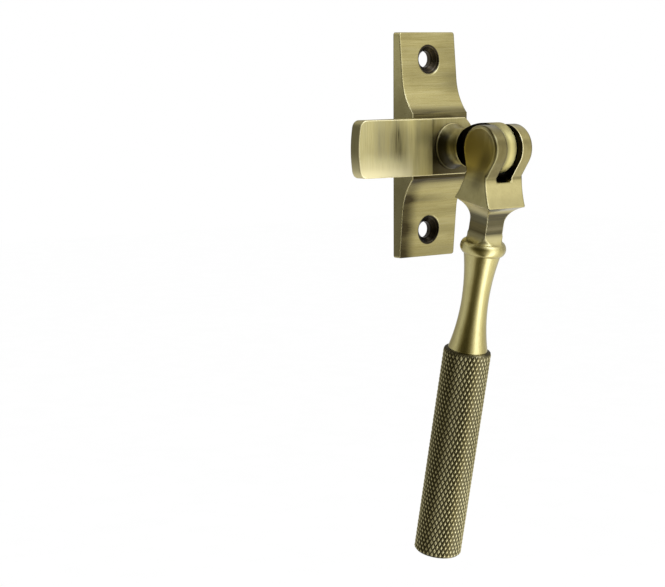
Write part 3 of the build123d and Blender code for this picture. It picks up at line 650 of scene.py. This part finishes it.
def shank_material():
    """Satin brass of the handle: its fork, its square neck, its collar and its waist."""
    tree = Tree("satin_brass_shank")
    place, normal = object_space(tree)
    local = handle_space(tree, place)
    fine, broad, blotch = brushed(tree, local, along=2)
    colour = streaked_colour(tree, fine, broad, blotch, SHANK_SPREAD)
    x, y, z = tree.millimetres(local)
    down = tree.times(z, -1.0)
    normal_x = tree.sizes(normal)[0]
    in_fork = tree.ramp(down, IN_FORK)
    above_crease = tree.ramp(down, ABOVE_CREASE)
    in_block = tree.minus(in_fork, above_crease)
    on_side = tree.ramp(normal_x, FORK_SIDE)
    on_front = tree.ramp(normal_x, FORK_FRONT)

    # Mottled fork, light on the block's front, painted light and shade from gold to brown across the
    # cheeks, and a painted highlight at their tops
    mottle = tree.ramp(tree.noise(local, MOTTLE_SCALES, detail=3.0, roughness=0.6), MOTTLE)
    colour = tree.mix(tree.times(mottle, in_fork), colour, BRASS_DEEP)
    block_front = tree.times(tree.ramp(normal_x, BLOCK_FRONT), in_block)
    colour = tree.mix(tree.times(block_front, BLOCK_FRONT_LIGHT), colour, BRASS_LIGHT)
    cheek_face = tree.times(tree.ramp(normal_x, CHEEK_FACE), above_crease)
    cheek_light_and_shade = tree.mix(tree.ramp(y, CHEEK_DEPTH), CHEEK_SHADE_BROWN, CHEEK_LIT_GOLD)
    colour = tree.mix(tree.times(cheek_face, CHEEK_SHARE), colour, cheek_light_and_shade)
    colour = tree.mix(tree.times(cheek_face, tree.ramp(z, CHEEK_TOP_HIGHLIGHT)), colour, BRASS_WEAR_AND_SHEEN)

    # Aged on the cheeks' edges, most on the left one, and on the block's sides, with painted shade in the
    # crease; then painted shade in a stripe down each side and at the front of the cheeks' rims, and
    # painted shade with patina in the corners
    cheek_edge = tree.times(tree.ramp(normal_x, CHEEK_EDGE), above_crease, tree.ramp(x, CHEEK_EDGE_AGE))
    block_side = tree.times(on_side, in_block, BLOCK_SIDE_AGE)
    at_crease = tree.size(tree.minus(down, CREASE_DOWN))
    crease = tree.times(tree.ramp(at_crease, CREASE_SHADE), on_front)
    cheek_foot = tree.times(tree.ramp(at_crease, CHEEK_FOOT_SHADE), on_side)
    darkened = tree.larger(tree.larger(cheek_edge, block_side), tree.larger(crease, cheek_foot))
    colour = tree.mix(darkened, colour, PATINA_AND_SHADE)
    off_stripe = tree.size(tree.plus(y, tree.times(z, STRIPE_SLANT), STRIPE_FORWARD))
    stripe = tree.times(tree.ramp(off_stripe, STRIPE_SHADE), on_side)
    stripe = tree.times(stripe, tree.ramp(z, STRIPE_TOP), tree.ramp(z, STRIPE_BOTTOM))
    cheek_rim = tree.times(tree.ramp(tree.distance(y, z), CHEEK_RIM_SHADE), cheek_face)
    cheek_rim = tree.times(cheek_rim, tree.ramp(y, CHEEK_RIM_FRONT))
    colour = tree.mix(tree.larger(stripe, cheek_rim), colour, PATINA_AND_SHADE)
    colour = tree.mix(tree.times(tree.crevice(SHANK_CREVICE), SHANK_CREVICE_AGE_AND_SHADE), colour, PATINA_AND_SHADE)

    # Worn edges of the block with painted highlights, painted shade on the edges of the cheeks but for
    # their front, and a worn edge with a painted highlight to the right of the slot
    fork_edge = tree.ramp(normal_x, FORK_EDGE)
    wear_and_sheen = tree.times(fork_edge, tree.ramp(normal_x, FORK_EDGE_SIDE), in_fork)
    wear_and_sheen = tree.times(wear_and_sheen, tree.ramp(above_crease, BLOCK_WEAR_AND_SHEEN))
    colour = tree.mix(wear_and_sheen, colour, BRASS_WEAR_AND_SHEEN)
    edge_shade = tree.times(fork_edge, tree.ramp(normal_x, EDGE_SHADE_SIDE), tree.ramp(y, EDGE_SHADE_BACK))
    colour = tree.mix(tree.times(edge_shade, above_crease), colour, PATINA_AND_SHADE)
    slot_edge = tree.times(tree.ramp(x, SLOT_EDGE_RIGHT), tree.ramp(x, SLOT_EDGE_LEFT), on_front, in_fork)
    colour = tree.mix(tree.times(slot_edge, tree.ramp(down, SLOT_EDGE_WEAR_AND_SHEEN)), colour, BRASS_WEAR_AND_SHEEN)

    # Painted shadow in the slot, brass at the front of its floor
    in_slot = tree.times(tree.ramp(tree.size(x), SLOT_WALL), tree.ramp(down, SLOT_BOTTOM))
    floor_front = tree.times(tree.ramp(down, SLOT_FLOOR), tree.ramp(y, SLOT_FLOOR_FRONT))
    colour = tree.mix(in_slot, colour, tree.mix(floor_front, DEEP_BLACK, BRASS))

    # Square neck between the block and the collar in bands of painted light and shade over dark grey, with
    # worn corners carrying painted highlights, and painted shade low on its sides
    before_collar = tree.ramp(down, BEFORE_COLLAR)
    on_neck = tree.times(tree.ramp(down, PAST_BLOCK), before_collar)
    along_neck = tree.ramp(down, ALONG_NECK)
    front_bands = tree.colours(along_neck, FRONT_BANDS)
    side_bands = tree.colours(along_neck, SIDE_BANDS)
    bands = tree.mix(tree.ramp(normal_x, NECK_SIDE), front_bands, side_bands)
    streaks = tree.noise(local, NECK_STREAK_SCALES, detail=2.0)
    colour = tree.mix(tree.times(on_neck, tree.ramp(streaks, NECK_BAND_STREAKS)), colour, bands)
    rounded = tree.rounded_normal_x(CORNER_RADIUS)
    corner = tree.times(tree.ramp(rounded, CORNER), tree.ramp(rounded, CORNER_SIDE), on_neck, CORNER_WEAR_AND_SHEEN)
    colour = tree.mix(corner, colour, BRASS_WEAR_AND_SHEEN)
    low_side_shade = tree.times(tree.ramp(down, LOW_SIDE_SHADE), tree.ramp(normal_x, LOW_SIDE))
    colour = tree.mix(tree.times(low_side_shade, before_collar), colour, PATINA_AND_SHADE)

    worn_rough = tree.times(tree.larger(wear_and_sheen, corner), SHANK_WORN_ROUGHNESS)
    flare_rough = tree.times(tree.ramp(down, FLARE_ROUGHNESS), tree.ramp(down, FLARE_END))
    rough = tree.plus(tree.ramp(fine, SHANK_ROUGHNESS), worn_rough, flare_rough)
    bumped = tree.bump(fine, SHANK_BUMP, tree.soft_edges(SHANK_EDGE_RADIUS))
    return tree.metal(colour, rough, bumped, lacquer=LACQUER)


# Knurl: noise per metre and how far it shifts the wear in millimetres, wear by radius, painted shade by
# height
KNURL_BLOTCH_SCALES = (240.0, 240.0, 90.0)
KNURL_BLOTCH = 0.10
KNURL_HEIGHT = (GRIP_RADIUS - 0.28, GRIP_RADIUS + 0.04)
KNURL_COLOURS = [(0.0, GROOVE), (0.55, KNURL_FLANK), (0.95, BRASS_LIGHT)]
KNURL_LOWER = (-80.0, -106.0, 1.05, 0.70)
KNURL_ROUGHNESS = (0.0, 1.0, 0.50, 0.32)
# Direction across the grip, and shares of painted shade and of painted highlight along it, from 0 at its
# shaded left to 1 at its lit right
ACROSS_X, ACROSS_Y = 0.76, -0.65
KNURL_SHADE = [
    (0.0, 0.40), (0.15, 0.40), (0.34, 0.45), (0.42, 0.50), (0.50, 0.45), (0.58, 0.22), (0.66, 0.0),
    (0.77, 0.05), (0.88, 0.34), (1.0, 0.30)]
KNURL_HIGHLIGHT = [(0.57, 0.0), (0.66, 0.20), (0.73, 0.40), (0.81, 0.16), (0.87, 0.0)]


def knurl_material():
    """Brass that is bright on the knurl's tips and dark in its grooves, with painted shade on the grip's
    left and a painted highlight on its right.
    """
    tree = Tree("knurled_brass")
    place, _ = object_space(tree)
    local = handle_space(tree, place)
    x, y, z = tree.millimetres(local)
    blotch = tree.noise(local, KNURL_BLOTCH_SCALES, detail=3.0, roughness=0.6)
    wear = tree.plus(tree.distance(x, y), tree.times(blotch, KNURL_BLOTCH))
    height = tree.ramp(wear, KNURL_HEIGHT)
    colour = tree.colours(height, KNURL_COLOURS)
    across = tree.plus(tree.times(x, ACROSS_X), tree.times(y, ACROSS_Y))
    across = tree.plus(tree.times(across, 0.5 / GRIP_RADIUS), 0.5)
    # Painted shade on the left of the grip and painted highlight on its right
    darkened = tree.times(tree.shares(across, KNURL_SHADE), tree.ramp(z, KNURL_LOWER))
    colour = tree.mix(darkened, colour, GROOVE)
    colour = tree.mix(tree.shares(across, KNURL_HIGHLIGHT), colour, BRASS_WEAR_AND_SHEEN)
    return tree.metal(colour, tree.ramp(height, KNURL_ROUGHNESS))


# Steel of the washers and the hinge pin: its noise per metre, colours and roughness
STEEL_SCALES = (900.0, 900.0, 900.0)
STEEL_COLOURS = [(0.3, STEEL_DARK), (0.7, STEEL_LIGHT)]
STEEL_ROUGHNESS = (0.2, 0.8, 0.25, 0.40)


def steel_material():
    """Plain steel with a fine grain."""
    tree = Tree("plain_steel")
    place, _ = object_space(tree)
    fine = tree.noise(place, STEEL_SCALES, detail=4.0)
    return tree.metal(tree.colours(fine, STEEL_COLOURS), tree.ramp(fine, STEEL_ROUGHNESS))


def dress(node, material):
    """Give a solid of the frame this material alone."""
    slots = frame["nodes"][node].data.materials
    slots.clear()
    slots.append(material)


def knurl_radius(column, down):
    """Radius at a place in mesh columns round the grip and millimetres down from its top."""
    pitch = (GRIP_END_DOWN - GRIP_DOWN) / KNURL_ROWS * KNURL_CELLS
    round_share = column / KNURL_CELLS
    along_share = down / pitch
    cuts = []
    for share in (round_share + along_share, round_share - along_share):
        off_groove = abs(share - round(share))
        cuts.append(max(0.0, 1 - off_groove / (0.5 - KNURL_TIP)))
    return GRIP_RADIUS - KNURL_DEPTH * max(cuts)


def grip_envelope(down):
    """Radius of the rounded top, the straight side and the chamfered end."""
    length = GRIP_END_DOWN - GRIP_DOWN
    if down < GRIP_TOP_RADIUS:
        below_top = GRIP_TOP_RADIUS - down
        return GRIP_RADIUS - GRIP_TOP_RADIUS + sqrt(GRIP_TOP_RADIUS ** 2 - below_top ** 2)
    if down > length - GRIP_END_CHAMFER:
        return GRIP_RADIUS - GRIP_END_CHAMFER + (length - down)
    return GRIP_RADIUS


def grip_mesh():
    """Knurled sleeve with a blind bore for the spigot, in place on the handle."""
    length = GRIP_END_DOWN - GRIP_DOWN
    columns = KNURL_STARTS * KNURL_CELLS
    step = length / KNURL_ROWS
    even_rows = {round(i * step, 6) for i in range(KNURL_ROWS + 1)}
    end_rows = {GRIP_TOP_RADIUS, length - GRIP_END_CHAMFER, length - GRIP_END_ROW}
    rows = sorted(even_rows | end_rows | set(GRIP_TOP_ROWS))
    vertices, faces = [], []

    def place(radius, column, down):
        angle = 2 * pi * column / columns
        vertices.append((radius * cos(angle), radius * sin(angle), -(GRIP_DOWN + down)))
        return len(vertices) - 1

    def knurl_place(column, down):
        return place(min(knurl_radius(column, down), grip_envelope(down)), column, down)

    def ring(radius, down):
        return [place(radius, i, down) for i in range(columns)]

    def knurl_ring(down):
        return [knurl_place(i, down) for i in range(columns)]

    def band(upper, lower):
        for i in range(columns):
            j = (i + 1) % columns
            faces.append((upper[i], lower[i], lower[j], upper[j]))

    bore_end = SPIGOT_BORE_END - GRIP_DOWN
    bore_tip = place(0, 0, bore_end)
    bore_floor = ring(SPIGOT_RADIUS, bore_end)
    bore_mouth = ring(SPIGOT_RADIUS, 0)
    for i in range(columns):
        faces.append((bore_tip, bore_floor[i], bore_floor[(i + 1) % columns]))
    band(bore_floor, bore_mouth)
    above = knurl_ring(rows[0])
    band(bore_mouth, above)
    for top, bottom in zip(rows, rows[1:]):
        below = knurl_ring(bottom)
        for i in range(columns):
            j = (i + 1) % columns
            centre = knurl_place(i + 0.5, (top + bottom) / 2)
            corners = (above[i], below[i], below[j], above[j])
            for k in range(4):
                faces.append((corners[k], corners[(k + 1) % 4], centre))
        above = below
    end_tip = place(0, 0, length)
    for i in range(columns):
        faces.append((above[i], end_tip, above[(i + 1) % columns]))
    mesh = bpy.data.meshes.new("grip_knurled")
    mesh.from_pydata([Vector(v) * MM for v in vertices], [], faces)
    mesh.transform(Matrix.Translation(pivot) @ Matrix.Rotation(radians(LEAN), 4, "X"))
    mesh.validate()
    return mesh


def bearing(azimuth, elevation):
    """Unit vector from the object towards a place round it, as the camera's angles are given."""
    a, e = radians(azimuth), radians(elevation)
    return Vector((sin(a) * cos(e), -cos(a) * cos(e), sin(e)))


def stage_mesh(name, vertices, faces, material):
    """Mesh that belongs to the stage and not to the object."""
    mesh = bpy.data.meshes.new(name)
    mesh.from_pydata(vertices, [], faces)
    mesh.materials.append(material)
    made = bpy.data.objects.new(name, mesh)
    bpy.context.scene.collection.objects.link(made)
    return made


def floor():
    """Matt white floor, well below the object."""
    tree = Tree("pale_floor")
    place, _ = object_space(tree)
    grain = tree.noise(place, [FLOOR_GRAIN] * 3, detail=2.0)
    matt = tree.node("ShaderNodeBsdfDiffuse")
    tree.put(matt.inputs["Color"], tree.colours(grain, FLOOR_COLOURS))
    signs = [(-1, -1), (1, -1), (1, 1), (-1, 1)]
    corners = [(right * FLOOR_HALF, far * FLOOR_HALF, FLOOR_Z) for right, far in signs]
    stage_mesh("floor", corners, [(0, 1, 2, 3)], tree.output(matt))


def between(stops, place):
    """Value at a place, straight between the stops on either side of it."""
    for (left, left_value), (right, right_value) in zip(stops, stops[1:]):
        if left <= place <= right:
            return left_value + (right_value - left_value) * (place - left) / (right - left)
    return stops[-1][1]


def tone_colour(tone, chill):
    """Colour of the dome: warm where it is dark, cool where it is brightest and on its left wall."""
    warmth = max(0.0, 1 - tone / DOME_WARM)
    cool = max(0.0, tone - DOME_COOL)
    green, blue = (
        1 - taken * warmth + cool_gain * cool + wall_gain * chill
        for taken, cool_gain, wall_gain in (GREEN_TINTS, BLUE_TINTS))
    return tone, tone * green, tone * blue, 1.0


def studio_dome():
    """Glowing tent round the object, seen only in reflections."""
    tree = Tree("studio_dome")
    glow = tree.node("ShaderNodeEmission")
    tree.put(glow.inputs["Color"], tree.node("ShaderNodeVertexColor", layer_name="tone").outputs["Color"])

    azimuths = range(0, 361, DOME_STEP)
    elevations = range(DOME_GAINS[0][0], DOME_GAINS[-1][0] + 1, DOME_STEP)
    vertices, colours, faces = [], [], []
    for elevation in elevations:
        gain = between(DOME_GAINS, elevation)
        high_share = min(1.0, max(0.0, (elevation - DOME_LOW) / (DOME_HIGH - DOME_LOW)))
        for azimuth in azimuths:
            low_tone = between(DOME_LOW_TONES, azimuth)
            high_tone = between(DOME_HIGH_TONES, azimuth)
            tone = gain * (low_tone + (high_tone - low_tone) * high_share)
            vertices.append(CENTRE + bearing(azimuth, elevation) * DOME_RADIUS)
            colours.append(tone_colour(tone, between(LEFT_WALL, azimuth)))
    across = len(azimuths)
    for j in range(len(elevations) - 1):
        for i in range(across - 1):
            corner = j * across + i
            faces.append((corner, corner + 1, corner + across + 1, corner + across))
    dome = stage_mesh("studio_dome", vertices, faces, tree.output(glow))
    layer = dome.data.color_attributes.new("tone", "FLOAT_COLOR", "POINT")
    for place, colour in zip(layer.data, colours):
        place.color = colour
    dome.visible_camera = False
    dome.visible_diffuse = False
    dome.visible_transmission = False
    dome.visible_shadow = False


def key_light():
    """Soft lamp in front, left out of reflections, which show the dome."""
    data = bpy.data.lights.new("key", "AREA")
    data.shape = "RECTANGLE"
    data.size, data.size_y = KEY_SIZE
    data.energy = KEY_WATTS
    data.color = KEY_COLOUR
    lamp = bpy.data.objects.new("key", data)
    direction = bearing(KEY_AZIMUTH, KEY_ELEVATION)
    lamp.location = CENTRE + direction * KEY_DISTANCE
    lamp.rotation_euler = direction.to_track_quat("Z", "Y").to_euler()
    lamp.visible_glossy = False
    bpy.context.scene.collection.objects.link(lamp)


def white_world():
    """Even white light from all round."""
    world = bpy.data.worlds.new("studio")
    bpy.context.scene.world = world
    world.use_nodes = True
    sky = world.node_tree.nodes["Background"]
    sky.inputs["Color"].default_value = (1, 1, 1, 1)
    sky.inputs["Strength"].default_value = 1.0


def photo_camera():
    """Camera with the photograph's lens, place and roll."""
    back = bearing(CAMERA_AZIMUTH, CAMERA_ELEVATION)
    right = (-back).cross(Vector((0, 0, 1))).normalized()
    up = right.cross(-back)
    roll = radians(CAMERA_ROLL)
    right, up = cos(roll) * right + sin(roll) * up, cos(roll) * up - sin(roll) * right
    shift_x = (ORIGIN_PX[0] - IMAGE_WIDTH / 2) / FOCAL_PX * CAMERA_DISTANCE
    shift_y = (IMAGE_HEIGHT / 2 - ORIGIN_PX[1]) / FOCAL_PX * CAMERA_DISTANCE
    eye = back * CAMERA_DISTANCE - right * shift_x - up * shift_y

    lens = bpy.data.cameras.new("camera")
    lens.sensor_fit = "HORIZONTAL"
    lens.sensor_width = SENSOR_MM
    lens.lens = FOCAL_PX / IMAGE_WIDTH * SENSOR_MM
    lens.clip_start = CAMERA_NEAR
    camera = bpy.data.objects.new("camera", lens)
    camera.matrix_world = Matrix((
        (right.x, up.x, back.x, eye.x),
        (right.y, up.y, back.y, eye.y),
        (right.z, up.z, back.z, eye.z),
        (0, 0, 0, 1),
    ))
    bpy.context.scene.collection.objects.link(camera)
    bpy.context.scene.camera = camera


grip = bpy.data.objects.new("grip_knurled", grip_mesh())
bpy.context.scene.collection.objects.link(grip)
grip.data.materials.append(knurl_material())
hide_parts("grip")
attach(grip, "handle")

dress("backplate", plate_material())
dress("latch_nose", nose_material())
dress("handle_shank", shank_material())
steel = steel_material()
for node in ("spring_washer", "retaining_washer", "hinge_pin"):
    dress(node, steel)

floor()
studio_dome()
key_light()
white_world()
photo_camera()
bpy.context.scene.view_settings.view_transform = "Standard"
